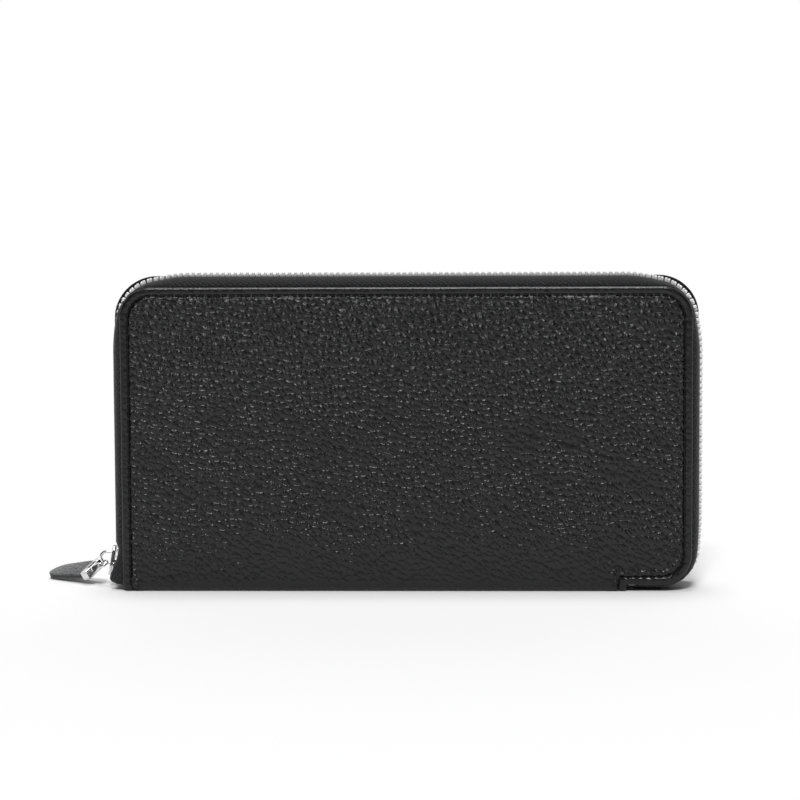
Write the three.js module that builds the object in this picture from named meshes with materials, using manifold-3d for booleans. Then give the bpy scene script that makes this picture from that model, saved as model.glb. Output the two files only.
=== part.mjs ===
// Zip-around long wallet, closed and standing on its spine. Millimetres, +Z up, -Y is the front.
import * as THREE from "three";
import { mergeVertices } from "three/addons/utils/BufferGeometryUtils.js";
import Module from "manifold-3d";

const wasm = await Module();
wasm.setup();

// Driving dimensions
const COVER_LENGTH = 193;
const COVER_HEIGHT = 103;
const HALF_DEPTH = 12; // from the middle to the outer face of a cover
const LEATHER = 1.6;
const GAP = 0.3; // clearance between pieces that touch in the real wallet
const CORNER = 12.5; // radius of the covers' rounded corners
const SPINE_END = 74.5; // x where the spine stops short of the zip's end
const CORNER_LIFT = 2.2; // height of the covers' lower edge beyond the spine

const CHAIN_THICKNESS = 1.8;
const CHAIN_OUTER = 2.1; // half width of the closed chain
const CHAIN_INNER = 0.5; // half of the slot left for the slider's post
const TAPE = 0.6;
const TAPE_FLANGE = 7; // width of tape sewn in behind the cover
const TAPE_START = 2;
const CHAIN_START = 3.6;
const BULGE = 3.3; // how far the chain stands out from the covers' edge
const BULGE_CORNER = 1.9;
const BULGE_BOTTOM = 1.2;

const SLIDER_LENGTH = 10.3;
const SLIDER_HALF_WIDTH = 3.3;
const SLIDER_PLATE = 0.9;
const SLIDER_CLEARANCE = 0.3;
const SLIDER_POST = 0.2; // half thickness

const CROWN_RADIUS = 1.95;
const CROWN_WIRE = 0.45;
const CROWN_HEIGHT = 10.5;
const EYE_RADIUS = 1.4;
const EYE_WIRE = 0.45;
const EYE_DROP = THREE.MathUtils.degToRad(50); // where the eye hangs on the crown
const CAP_WIDTH = 9;
const CAP_THICKNESS = 3.4;
const CAP_TAPER = 5;
const CAP_END = 8;
const TAB_WIDTH = 8.4;
const TAB_THICKNESS = 1.8;
const TAB_TIP = 27.4; // from the middle of the eye
const TAB_HEADING = THREE.MathUtils.degToRad(-41);
const TAB_DIP = THREE.MathUtils.degToRad(-13.5);
const TAB_ROLL = THREE.MathUtils.degToRad(29);

const PANEL = 0.6; // lining, boards and pocket panels
const BOARD_BOTTOM = 10.5; // the stiffening stops above the fold
const BOARD_CORNER = 4.5;
const LINING_INSET = 2;
const LINING_BOTTOM = 4.4;
const LINING_CORNER = 10.5;
const BILL_HALF_LENGTH = 89;
const BILL_TOP = 86;
const CARD_SLOT = 0.5;
const CARD_SLOT_BOTTOM = 5;
const CARD_ROW_GAP = 0.4; // between one row's panel and the next
const CARD_ROWS = 3;
const CARD_STEP = 13;
const CARD_SLOT_TOP = 74;
const CARD_SLOT_WIDTH = 88;

const LEAF_LEFT = -86;
const LEAF_RIGHT = 72;
const LEAF_BOTTOM = 3;
const LEAF_TOP = 76;
const LEAF_HALF = 3.4;
const LEAF_WALL = 0.8;
const COIN_CHAIN_BASE = 77.3;
const COIN_TAPE_BOTTOM = 69;
const COIN_SLIDER_LENGTH = 8;
const COIN_SLIDER_X = -78;
const COIN_CROWN_RADIUS = 1.8;
const COIN_CROWN_WIRE = 0.4;
const COIN_PULL_LENGTH = 14;
const COIN_PULL_WIDTH = 4.4;
const COIN_PULL_THICKNESS = 0.7;

// Values that follow
const RIGHT = COVER_LENGTH / 2;
const LEFT = -RIGHT;
const INNER_FACE = HALF_DEPTH - LEATHER; // inner face of a cover
const HINGE_Y = HALF_DEPTH - LEATHER / 2;
const HINGE_Z = LEATHER / 2;
const BOARD_OUTER = INNER_FACE - GAP;
const LINING_OUTER = BOARD_OUTER - PANEL - GAP;
const BILL_OUTER = LINING_OUTER - PANEL - GAP;
const CARD_OUTER = BILL_OUTER - PANEL - GAP;
const CHAIN_X = LEFT - BULGE; // plane of the chain up the left side
const SLIDER_OUTER_X = CHAIN_X - CHAIN_THICKNESS / 2 - SLIDER_CLEARANCE - SLIDER_PLATE;
const SLIDER_INNER_X = CHAIN_X + CHAIN_THICKNESS / 2 + SLIDER_CLEARANCE;
const SLIDER_Z = CHAIN_START;
const CROWN_X = SLIDER_OUTER_X - 1.6;

const group = new THREE.Group();
group.name = "long_wallet";

const LOOKS = {
  coverLeather: ["#2b2c2e", 0.52, 0],
  liningLeather: ["#242526", 0.6, 0],
  fabric: ["#1c1d1f", 0.9, 0],
  board: ["#8d867a", 0.9, 0],
  tape: ["#303134", 0.95, 0],
  metal: ["#c9ccd0", 0.22, 1],
};

function add(name, geometry, look) {
  const [color, roughness, metalness] = LOOKS[look];
  const material = new THREE.MeshStandardMaterial({ color, roughness, metalness });
  const mesh = new THREE.Mesh(geometry, material);
  mesh.name = name;
  group.add(mesh);
}

function box(x0, x1, y0, y1, z0, z1) {
  const shape = new THREE.BoxGeometry(x1 - x0, y1 - y0, z1 - z0);
  return shape.translate((x0 + x1) / 2, (y0 + y1) / 2, (z0 + z1) / 2);
}

function solid(geometry) {
  const bare = geometry.clone();
  bare.deleteAttribute("normal");
  bare.deleteAttribute("uv");
  const merged = mergeVertices(bare, 1e-5);
  const mesh = new wasm.Mesh({
    numProp: 3,
    vertProperties: new Float32Array(merged.attributes.position.array),
    triVerts: new Uint32Array(merged.index.array),
  });
  return new wasm.Manifold(mesh);
}

function geometryOf(manifold) {
  const mesh = manifold.getMesh();
  const geometry = new THREE.BufferGeometry();
  geometry.setAttribute("position", new THREE.BufferAttribute(mesh.vertProperties, 3));
  geometry.setIndex(new THREE.BufferAttribute(mesh.triVerts, 1));
  return geometry;
}

function union(...geometries) {
  return geometryOf(geometries.map(solid).reduce((a, b) => a.add(b)));
}

function cut(geometry, ...tools) {
  return geometryOf(tools.map(solid).reduce((a, b) => a.subtract(b), solid(geometry)));
}

// A flat panel of the given outline in XZ between two depths.
function panel(outline, y0, y1) {
  const shape = new THREE.ExtrudeGeometry(outline, { depth: y1 - y0, bevelEnabled: false, curveSegments: 8 });
  return shape.rotateX(Math.PI / 2).translate(0, y1, 0);
}

// The same panel on the front (side -1) or the back (side 1), from the outer depth inwards.
function sidePanel(side, outline, outer, thickness) {
  const inner = outer - thickness;
  return side < 0 ? panel(outline, -outer, -inner) : panel(outline, inner, outer);
}

// A rectangle in XZ with its own radius at each corner.
function roundedRect(x0, x1, z0, z1, topLeft, topRight, bottomRight, bottomLeft) {
  const shape = new THREE.Shape();
  shape.moveTo(x0, z0 + bottomLeft);
  shape.lineTo(x0, z1 - topLeft);
  if (topLeft) shape.absarc(x0 + topLeft, z1 - topLeft, topLeft, Math.PI, Math.PI / 2, true);
  shape.lineTo(x1 - topRight, z1);
  if (topRight) shape.absarc(x1 - topRight, z1 - topRight, topRight, Math.PI / 2, 0, true);
  shape.lineTo(x1, z0 + bottomRight);
  if (bottomRight) shape.absarc(x1 - bottomRight, z0 + bottomRight, bottomRight, 0, -Math.PI / 2, true);
  shape.lineTo(x0 + bottomLeft, z0);
  if (bottomLeft) shape.absarc(x0 + bottomLeft, z0 + bottomLeft, bottomLeft, -Math.PI / 2, -Math.PI, true);
  return shape;
}

function coverOutline() {
  const shape = new THREE.Shape();
  shape.moveTo(LEFT, HINGE_Z);
  shape.lineTo(LEFT, COVER_HEIGHT - CORNER);
  shape.absarc(LEFT + CORNER, COVER_HEIGHT - CORNER, CORNER, Math.PI, Math.PI / 2, true);
  shape.lineTo(RIGHT - CORNER, COVER_HEIGHT);
  shape.absarc(RIGHT - CORNER, COVER_HEIGHT - CORNER, CORNER, Math.PI / 2, 0, true);
  shape.lineTo(RIGHT, CORNER_LIFT + CORNER);
  shape.absarc(RIGHT - CORNER, CORNER_LIFT + CORNER, CORNER, 0, -Math.PI / 2, true);
  shape.lineTo(SPINE_END, CORNER_LIFT);
  shape.lineTo(SPINE_END, HINGE_Z);
  return shape;
}

// A cover: the flat leather with its lower edge rounded about the fold.
function coverLeather(side) {
  const flat = sidePanel(side, coverOutline(), HALF_DEPTH, LEATHER);
  const fold = new THREE.CylinderGeometry(HINGE_Z, HINGE_Z, SPINE_END - LEFT, 16);
  fold.rotateZ(Math.PI / 2);
  fold.translate((SPINE_END + LEFT) / 2, side * HINGE_Y, HINGE_Z);
  return union(flat, fold);
}

// The covers' edge from the zip's left end, up, over and down to its right end.
const ARC = (CORNER * Math.PI) / 2;
const LEFT_RUN = COVER_HEIGHT - CORNER - TAPE_START;
const TOP_RUN = COVER_LENGTH - 2 * CORNER;
const RIGHT_RUN = COVER_HEIGHT - 2 * CORNER - CORNER_LIFT;
const BOTTOM_STOP = [SPINE_END + GAP, SPINE_END + GAP + 3.1];
const BOTTOM_RUN = RIGHT - CORNER - (BOTTOM_STOP[1] + GAP);
const EDGE_LENGTH = LEFT_RUN + TOP_RUN + RIGHT_RUN + BOTTOM_RUN + 3 * ARC;
const CORNER_MIDDLES = [
  LEFT_RUN + ARC / 2,
  LEFT_RUN + ARC * 1.5 + TOP_RUN,
  LEFT_RUN + ARC * 2.5 + TOP_RUN + RIGHT_RUN,
];

function edgeAt(distance) {
  let s = distance;
  const top = COVER_HEIGHT - CORNER;
  const at = (x, z, nx, nz) => ({ x, z, nx, nz });
  const arc = (cx, cz, angle) => {
    const nx = Math.cos(angle);
    const nz = Math.sin(angle);
    return at(cx + CORNER * nx, cz + CORNER * nz, nx, nz);
  };
  if (s <= LEFT_RUN) return at(LEFT, TAPE_START + s, -1, 0);
  s -= LEFT_RUN;
  if (s <= ARC) return arc(LEFT + CORNER, top, Math.PI - s / CORNER);
  s -= ARC;
  if (s <= TOP_RUN) return at(LEFT + CORNER + s, COVER_HEIGHT, 0, 1);
  s -= TOP_RUN;
  if (s <= ARC) return arc(RIGHT - CORNER, top, Math.PI / 2 - s / CORNER);
  s -= ARC;
  if (s <= RIGHT_RUN) return at(RIGHT, top - s, 1, 0);
  s -= RIGHT_RUN;
  if (s <= ARC) return arc(RIGHT - CORNER, CORNER_LIFT + CORNER, -s / CORNER);
  s -= ARC;
  return at(RIGHT - CORNER - s, CORNER_LIFT, 0, -1);
}

// How far the chain stands out: less round the corners, least under the last one.
const CORNER_REACH = 17;

function bulgeAt(distance) {
  const last = CORNER_MIDDLES[2];
  const fall = THREE.MathUtils.smoothstep(distance, last - CORNER_REACH, last + ARC / 2);
  const dip = (middle) => {
    const away = Math.min(Math.abs(distance - middle) / CORNER_REACH, 1);
    return Math.cos((away * Math.PI) / 2) ** 2;
  };
  const corner = dip(CORNER_MIDDLES[0]) + dip(CORNER_MIDDLES[1]);
  return BULGE - (BULGE - BULGE_CORNER) * corner - (BULGE - BULGE_BOTTOM) * fall;
}

// Distances along the edge: close together round the corners, ends only on the straights.
function stations(start) {
  const list = [start];
  const steps = 12;
  for (const middle of CORNER_MIDDLES) {
    for (let i = 0; i <= steps; i++) {
      list.push(middle - CORNER_REACH + (2 * CORNER_REACH * i) / steps);
    }
  }
  return [...list.filter((s) => s < EDGE_LENGTH - 0.5), EDGE_LENGTH];
}

// A closed solid through a list of rings, all with the same number of points.
function sweep(rings, outline) {
  const count = rings[0].length;
  const positions = rings.flat().flatMap((p) => [p.x, p.y, p.z]);
  const faces = [];
  for (let i = 0; i + 1 < rings.length; i++) {
    for (let j = 0; j < count; j++) {
      const a = i * count + j;
      const b = i * count + ((j + 1) % count);
      faces.push([a, b, b + count], [a, b + count, a + count]);
    }
  }
  const last = (rings.length - 1) * count;
  const clockwise = THREE.ShapeUtils.isClockWise(outline);
  for (const triangle of THREE.ShapeUtils.triangulateShape(outline, [])) {
    const [a, b, c] = triangle;
    const [p, q, r] = triangle.map((k) => outline[k]);
    const turn = (q.x - p.x) * (r.y - p.y) - (q.y - p.y) * (r.x - p.x);
    const [u, v] = turn > 0 === clockwise ? [c, b] : [b, c];
    faces.push([a, v, u], [last + a, last + u, last + v]);
  }
  const corner = (k) => new THREE.Vector3().fromArray(positions, 3 * k);
  const volume = faces.reduce((sum, [a, b, c]) => sum + corner(a).dot(corner(b).cross(corner(c))), 0);
  const outward = volume > 0 ? faces : faces.map(([a, b, c]) => [a, c, b]);
  const geometry = new THREE.BufferGeometry();
  geometry.setAttribute("position", new THREE.Float32BufferAttribute(positions, 3));
  geometry.setIndex(outward.flat());
  return geometry;
}

// A section of (out from the edge, depth) pairs, placed at every station on one side.
function alongEdge(side, start, sectionAt) {
  const rings = stations(start).map((s) => {
    const edge = edgeAt(s);
    return sectionAt(bulgeAt(s)).map(
      ([out, depth]) => new THREE.Vector3(edge.x + edge.nx * out, side * depth, edge.z + edge.nz * out),
    );
  });
  const outline = sectionAt(BULGE).map(([out, depth]) => new THREE.Vector2(out, depth));
  return sweep(rings, outline);
}

// The tape: sewn flat behind the cover, then arching out and in to the chain.
function tapeSection(bulge) {
  const depth = BOARD_OUTER - TAPE / 2;
  const line = [
    [-TAPE_FLANGE, depth],
    [0, depth],
    [bulge * 0.55, depth - 0.8],
    [bulge * 0.9, depth - 2.6],
    [bulge, depth - 4.8],
    [bulge, CHAIN_OUTER + GAP],
  ].map(([x, y]) => new THREE.Vector2(x, y));
  const outer = [];
  const inner = [];
  line.forEach((point, i) => {
    const before = line[Math.max(i - 1, 0)];
    const after = line[Math.min(i + 1, line.length - 1)];
    const along = after.clone().sub(before).normalize();
    const across = new THREE.Vector2(-along.y, along.x).multiplyScalar(TAPE / 2);
    outer.push([point.x + across.x, point.y + across.y]);
    inner.unshift([point.x - across.x, point.y - across.y]);
  });
  return [...outer, ...inner];
}

function chainSection(bulge) {
  const half = CHAIN_THICKNESS / 2;
  return [
    [bulge - half, CHAIN_INNER],
    [bulge + half, CHAIN_INNER],
    [bulge + half, CHAIN_OUTER],
    [bulge - half, CHAIN_OUTER],
  ];
}

// The leather, board, lining and pockets of one cover, and its half of the zip.
function cover(side, name) {
  add(`${name}_cover_leather`, coverLeather(side), "coverLeather");
  const boardInset = TAPE_FLANGE + 1;
  const boardTop = COVER_HEIGHT - boardInset;
  const boardCorners = [BOARD_CORNER, BOARD_CORNER, BOARD_CORNER, BOARD_CORNER];
  const board = roundedRect(LEFT + boardInset, RIGHT - boardInset, BOARD_BOTTOM, boardTop, ...boardCorners);
  add(`${name}_board`, sidePanel(side, board, BOARD_OUTER, PANEL), "board");
  const liningCorners = [LINING_CORNER, LINING_CORNER, LINING_CORNER, 1];
  const lining = roundedRect(
    LEFT + LINING_INSET, RIGHT - LINING_INSET, LINING_BOTTOM, COVER_HEIGHT - LINING_INSET, ...liningCorners,
  );
  add(`${name}_lining`, sidePanel(side, lining, LINING_OUTER, PANEL), "fabric");
  const bill = roundedRect(-BILL_HALF_LENGTH, BILL_HALF_LENGTH, LINING_BOTTOM, BILL_TOP, 3, 3, 3, 1);
  add(`${name}_bill_pocket`, sidePanel(side, bill, BILL_OUTER, PANEL), "liningLeather");
  for (let row = 0; row < CARD_ROWS; row++) {
    const outer = CARD_OUTER - row * (CARD_SLOT + CARD_ROW_GAP);
    const top = CARD_SLOT_TOP - row * CARD_STEP;
    const left = roundedRect(-GAP - CARD_SLOT_WIDTH, -GAP, CARD_SLOT_BOTTOM, top, 2, 2, 1, 1);
    const right = roundedRect(GAP, GAP + CARD_SLOT_WIDTH, CARD_SLOT_BOTTOM, top, 2, 2, 1, 1);
    add(`${name}_card_slot_left_${row + 1}`, sidePanel(side, left, outer, CARD_SLOT), "liningLeather");
    add(`${name}_card_slot_right_${row + 1}`, sidePanel(side, right, outer, CARD_SLOT), "liningLeather");
  }
  add(`zip_tape_${name}`, alongEdge(side, 0, tapeSection), "tape");
  add(`zip_teeth_${name}`, alongEdge(side, CHAIN_START - TAPE_START, chainSection), "metal");
  const stopY = [0.6, CHAIN_OUTER].map((y) => side * y).sort((a, b) => a - b);
  const half = CHAIN_THICKNESS / 2;
  const stop = box(CHAIN_X - half, CHAIN_X + half, ...stopY, TAPE_START, CHAIN_START - 0.4);
  add(`zip_top_stop_${name}`, stop, "metal");
}

function spine() {
  add("spine_leather", box(LEFT, SPINE_END, -BOARD_OUTER, BOARD_OUTER, 0, LEATHER), "coverLeather");
  add("spine_lining", box(LEFT + 8, SPINE_END - 2, -8, 8, LEATHER + GAP, LEATHER + GAP + 0.5), "fabric");
  const half = CHAIN_THICKNESS / 2;
  const z = CORNER_LIFT - BULGE_BOTTOM;
  add("zip_bottom_stop", box(...BOTTOM_STOP, -CHAIN_OUTER, CHAIN_OUTER, z - half, z + half), "metal");
}

// One flat plate of the slider, seen along X: wide at the mouth, narrower at the neck.
function sliderPlate(x) {
  const neck = SLIDER_HALF_WIDTH - 0.8;
  const shape = new THREE.Shape();
  shape.moveTo(-SLIDER_HALF_WIDTH, 1.2);
  shape.lineTo(-SLIDER_HALF_WIDTH + 0.9, 0);
  shape.lineTo(SLIDER_HALF_WIDTH - 0.9, 0);
  shape.lineTo(SLIDER_HALF_WIDTH, 1.2);
  shape.lineTo(SLIDER_HALF_WIDTH, SLIDER_LENGTH * 0.45);
  shape.lineTo(neck, SLIDER_LENGTH * 0.65);
  shape.lineTo(neck, SLIDER_LENGTH - 1);
  shape.absarc(0, SLIDER_LENGTH - neck, neck, Math.PI * 0.2, Math.PI * 0.8, false);
  shape.lineTo(-neck, SLIDER_LENGTH * 0.65);
  shape.lineTo(-SLIDER_HALF_WIDTH, SLIDER_LENGTH * 0.45);
  const plateOptions = { depth: SLIDER_PLATE, bevelEnabled: false, curveSegments: 8 };
  const plate = new THREE.ExtrudeGeometry(shape, plateOptions);
  plate.rotateX(Math.PI / 2).rotateZ(Math.PI / 2);
  return plate.translate(x, 0, SLIDER_Z);
}

// An arch of round wire in XZ standing on a plate that faces `outward`.
class Arch extends THREE.Curve {
  constructor(radius, leg, centre, outward) {
    super();
    Object.assign(this, { radius, leg, centre, outward });
  }
  getPoint(t) {
    const length = 2 * this.leg + Math.PI * this.radius;
    const s = t * length;
    const turn = (s - this.leg) / this.radius;
    let out = this.radius * Math.sin(turn);
    let along = this.radius * Math.cos(turn);
    if (s < this.leg) [out, along] = [s - this.leg, this.radius];
    if (s > length - this.leg) [out, along] = [length - this.leg - s, -this.radius];
    const across = new THREE.Vector3(-this.outward.z, 0, this.outward.x);
    return this.centre.clone().addScaledVector(this.outward, out).addScaledVector(across, along);
  }
}

function wire(curve, radius, steps) {
  const round = new THREE.Shape();
  round.absarc(0, 0, radius, 0, Math.PI * 2, false);
  return new THREE.ExtrudeGeometry(round, { extrudePath: curve, steps, curveSegments: 5 });
}

function slider() {
  const post = box(
    SLIDER_OUTER_X + SLIDER_PLATE / 2, SLIDER_INNER_X + SLIDER_PLATE / 2,
    -SLIDER_POST, SLIDER_POST, SLIDER_Z + 1, SLIDER_Z + 4,
  );
  add("slider_body", union(sliderPlate(SLIDER_OUTER_X), sliderPlate(SLIDER_INNER_X), post), "metal");
  const centre = new THREE.Vector3(CROWN_X, 0, CROWN_HEIGHT);
  const leg = SLIDER_OUTER_X - CROWN_X - GAP;
  const arch = new Arch(CROWN_RADIUS, leg, centre, new THREE.Vector3(-1, 0, 0));
  add("slider_crown", wire(arch, CROWN_WIRE, 20), "metal");
}

// Puts a piece of the pull, drawn flat with its tip towards -X, where it hangs from the crown.
function hang(geometry) {
  const turn = new THREE.Matrix4().makeRotationZ(TAB_HEADING);
  turn.multiply(new THREE.Matrix4().makeRotationY(TAB_DIP));
  turn.multiply(new THREE.Matrix4().makeRotationX(TAB_ROLL));
  const x = CROWN_X - CROWN_RADIUS * Math.cos(EYE_DROP);
  const z = CROWN_HEIGHT - CROWN_RADIUS * Math.sin(EYE_DROP);
  return geometry.applyMatrix4(turn).translate(x, 0, z);
}

// A flat piece from its outline in XY, centred on z = 0.
function flat(outline, thickness) {
  const options = { depth: thickness, bevelEnabled: false, curveSegments: 10 };
  const shape = new THREE.ExtrudeGeometry(outline, options);
  return shape.translate(0, 0, -thickness / 2);
}

function pull() {
  const half = CAP_WIDTH / 2;
  const neck = 1.1;
  const outline = new THREE.Shape();
  outline.moveTo(-EYE_RADIUS, neck);
  outline.lineTo(-CAP_TAPER, half);
  outline.lineTo(-CAP_END, half);
  outline.lineTo(-CAP_END, -half);
  outline.lineTo(-CAP_TAPER, -half);
  outline.lineTo(-EYE_RADIUS, -neck);
  const wall = 0.5;
  const pocket = box(-CAP_END - 1, -CAP_TAPER - wall, wall - half, half - wall, wall - CAP_THICKNESS / 2,
    CAP_THICKNESS / 2 - wall);
  const window = box(-CAP_END + 0.9, -CAP_TAPER - 0.8, -1.7, 1.7, 0, CAP_THICKNESS);
  const hollowed = cut(flat(outline, CAP_THICKNESS), pocket, window);
  const eyeSpace = new THREE.CylinderGeometry(EYE_RADIUS, EYE_RADIUS, CAP_THICKNESS * 2, 20);
  eyeSpace.rotateX(Math.PI / 2);
  const trimmed = cut(hollowed, eyeSpace);
  const eye = new THREE.TorusGeometry(EYE_RADIUS, EYE_WIRE, 8, 20);
  add("pull_cap", hang(union(trimmed, eye)), "metal");

  const inCap = half - wall - GAP;
  const tab = new THREE.Shape();
  const wide = TAB_WIDTH / 2;
  const start = CAP_TAPER + wall + GAP;
  tab.moveTo(-start, inCap);
  tab.lineTo(-CAP_END, inCap);
  tab.lineTo(-CAP_END - 1, wide);
  tab.lineTo(-TAB_TIP + wide, wide);
  tab.absarc(-TAB_TIP + wide, 0, wide, Math.PI / 2, Math.PI * 1.5, false);
  tab.lineTo(-CAP_END - 1, -wide);
  tab.lineTo(-CAP_END, -inCap);
  tab.lineTo(-start, -inCap);
  add("pull_tab", hang(flat(tab, TAB_THICKNESS)), "coverLeather");
}

// The zipped coin pocket that stands in the middle, sewn to the spine.
function coinPocket() {
  const inner = LEAF_HALF - LEAF_WALL;
  for (const [side, name] of [[-1, "front"], [1, "back"]]) {
    const wall = roundedRect(LEAF_LEFT, LEAF_RIGHT, LEAF_BOTTOM, LEAF_TOP, 3, 3, 1, 1);
    add(`coin_wall_${name}`, sidePanel(side, wall, LEAF_HALF, LEAF_WALL), "liningLeather");
    const tapeY = [1.7, inner - GAP].map((y) => side * y).sort((a, b) => a - b);
    const tapeZ = [COIN_TAPE_BOTTOM, COIN_CHAIN_BASE - GAP];
    add(`coin_zip_tape_${name}`, box(LEAF_LEFT + 1.3, LEAF_RIGHT - 1.3, ...tapeY, ...tapeZ), "tape");
    const teethY = [CHAIN_INNER, CHAIN_OUTER].map((y) => side * y).sort((a, b) => a - b);
    const teeth = box(
      LEAF_LEFT + 3.4, LEAF_RIGHT - 3.6, ...teethY,
      COIN_CHAIN_BASE, COIN_CHAIN_BASE + CHAIN_THICKNESS,
    );
    add(`coin_zip_teeth_${name}`, teeth, "metal");
  }
  const between = inner - GAP;
  add("coin_base", box(LEAF_LEFT, LEAF_RIGHT, -between, between, LEAF_BOTTOM, LEAF_BOTTOM + 1), "fabric");
  const sideZ = [LEAF_BOTTOM + 1 + GAP, COIN_TAPE_BOTTOM - GAP];
  add("coin_side_left", box(LEAF_LEFT, LEAF_LEFT + 1, -between, between, ...sideZ), "fabric");
  add("coin_side_right", box(LEAF_RIGHT - 1, LEAF_RIGHT, -between, between, ...sideZ), "fabric");
  const stopZ = [COIN_CHAIN_BASE, COIN_CHAIN_BASE + CHAIN_THICKNESS];
  add("coin_stop_left", box(LEAF_LEFT + 1.4, LEAF_LEFT + 3.1, -CHAIN_OUTER, CHAIN_OUTER, ...stopZ), "metal");
  const rightStop = box(LEAF_RIGHT - 3.3, LEAF_RIGHT - 1.6, -CHAIN_OUTER, CHAIN_OUTER, ...stopZ);
  add("coin_stop_right", rightStop, "metal");
}

function coinSlider() {
  const x0 = COIN_SLIDER_X - COIN_SLIDER_LENGTH / 2;
  const x1 = COIN_SLIDER_X + COIN_SLIDER_LENGTH / 2;
  const plate = 0.8;
  const top = COIN_CHAIN_BASE + CHAIN_THICKNESS + SLIDER_CLEARANCE;
  const bottom = COIN_CHAIN_BASE - SLIDER_CLEARANCE;
  const upper = box(x0, x1, -3, 3, top, top + plate);
  const lower = box(x0 + 1, x1 - 1, -1.4, 1.4, bottom - plate, bottom);
  const post = box(x0 + 1.5, x0 + 4, -SLIDER_POST, SLIDER_POST, bottom - plate / 2, top + plate / 2);
  const centre = new THREE.Vector3(COIN_SLIDER_X, 0, top + plate + 0.3);
  const arch = new Arch(COIN_CROWN_RADIUS, 0.7, centre, new THREE.Vector3(0, 0, 1));
  add("coin_slider", union(upper, lower, post, wire(arch, COIN_CROWN_WIRE, 18)), "metal");

  const eyeAngle = THREE.MathUtils.degToRad(20);
  const eyeX = centre.x + COIN_CROWN_RADIUS * Math.cos(eyeAngle);
  const eyeZ = centre.z + COIN_CROWN_RADIUS * Math.sin(eyeAngle);
  const eye = new THREE.TorusGeometry(1.2, 0.35, 8, 18);
  const wide = COIN_PULL_WIDTH / 2;
  const tongue = new THREE.Shape();
  tongue.moveTo(1.2, -0.8);
  tongue.lineTo(3.4, -wide);
  tongue.lineTo(COIN_PULL_LENGTH - wide, -wide);
  tongue.absarc(COIN_PULL_LENGTH - wide, 0, wide, -Math.PI / 2, Math.PI / 2, false);
  tongue.lineTo(3.4, wide);
  tongue.lineTo(1.2, 0.8);
  add("coin_pull", union(eye, flat(tongue, COIN_PULL_THICKNESS)).translate(eyeX, 0, eyeZ), "metal");
}

spine();
cover(-1, "front");
cover(1, "back");
slider();
pull();
coinPocket();
coinSlider();

export default group;
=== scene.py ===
"""Zip-around long wallet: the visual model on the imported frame. Shapes are worked out in millimetres."""
import math

import bmesh
import bpy
import numpy as np
from mathutils import Matrix, Vector, noise
from mathutils.geometry import delaunay_2d_cdt


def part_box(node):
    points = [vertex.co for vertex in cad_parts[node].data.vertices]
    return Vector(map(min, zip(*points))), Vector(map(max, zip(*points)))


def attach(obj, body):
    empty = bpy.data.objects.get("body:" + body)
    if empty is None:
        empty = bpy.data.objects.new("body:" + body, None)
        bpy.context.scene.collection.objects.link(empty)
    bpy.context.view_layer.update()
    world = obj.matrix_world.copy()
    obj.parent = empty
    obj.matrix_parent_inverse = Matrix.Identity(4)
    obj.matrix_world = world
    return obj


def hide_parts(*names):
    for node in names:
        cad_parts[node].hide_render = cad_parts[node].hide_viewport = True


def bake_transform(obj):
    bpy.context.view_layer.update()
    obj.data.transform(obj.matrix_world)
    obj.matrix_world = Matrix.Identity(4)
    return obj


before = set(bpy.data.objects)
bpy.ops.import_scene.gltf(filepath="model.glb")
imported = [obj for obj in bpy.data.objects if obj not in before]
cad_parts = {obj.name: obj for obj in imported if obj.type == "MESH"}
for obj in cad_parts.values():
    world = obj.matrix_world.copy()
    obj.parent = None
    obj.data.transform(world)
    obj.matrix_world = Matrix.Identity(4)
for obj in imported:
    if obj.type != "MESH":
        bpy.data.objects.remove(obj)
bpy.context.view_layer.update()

HALVES = {"front": -1, "back": 1}

# Driving dimensions
RIGHT = 96.5
LEFT = -RIGHT
TOP = 103.4
HALF_DEPTH = 12.0
CORNER = 10.5
SPINE_END = 74.5
CORNER_LIFT = 2.2
FOLD = 2.0  # outer radius of the leather where it folds round the spine
SPINE_MIDDLE = FOLD * (1 - math.pi / 2) - (HALF_DEPTH - FOLD)  # flat coordinate of the spine's middle

HEEL_HEIGHT = 2.4  # the lower left corner is cut off this high
HEEL_CUT = 1.0
TURNED = 0.75  # radius of the turned edge
TURNED_BACK = 3.0  # width of the leather turned in behind it
STITCH_INSET = 2.7
STITCH_PITCH = 2.6
STITCH_RADIUS = 0.2
STITCH_DEPTH = 0.18  # of the stitches' line below the face
PANEL_STITCH_INSET = 1.75
PANEL_STITCH_RADIUS = 0.16
CROWN = 1.3  # how far the padded covers swell
CROWN_MIDDLE = 49.0  # above the fold
CROWN_REACH = 50.0
COVER_GRID = 2.0  # spacing of the points inside a cover

BULGE = 3.0  # how far the middle of the teeth stands out from the covers' edge
BULGE_LEFT = 2.4
BULGE_TOP = 3.4
TAPE_DROP = 0.6  # how far the tape lies below the middle of the teeth along the top
TAPE_STAND = 0.3  # how far it stands beyond their middle up the slider's side
END_RISE = 0.5  # the chain stands out further where it passes the slider
CHAIN_LEAN = 0.22  # the closed chain leans: its front row stands this much proud along the top
BULGE_CORNER = 0.8
BULGE_BOTTOM = 1.2
BOTTOM_CLEAR = 3.7  # from the spine's end to the zip's end
BACK_STAND = 2.2  # the back half's tape stands up beyond the teeth round the top corners
CORNER_REACH = 20.0  # length of zip over which a corner's changes fade out
TOOTH_PITCH = 2.05
TAPE = 0.5  # thickness
TAPE_START = 2.0
TAPE_DEPTH = 9.8  # half depth where the tape is sewn in
TAPE_TURN = 5.0  # half depth where its arch ends
TAPE_RINGS = 420

CHAIN_X = LEFT - 2.2  # middle of the chain where it enters the slider
SLIDER_Z = 3.6
SLIDER_TOP = 13.9
BOTTOM_STOP_HALF = 4.2
SLIDER_TILT = math.radians(10)
WAVE_PERIOD = math.pi / 10  # distance between a wave texture's bands at scale 1
UV_SPAN = 300.0  # millimetres across the whole of a UV map

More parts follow.
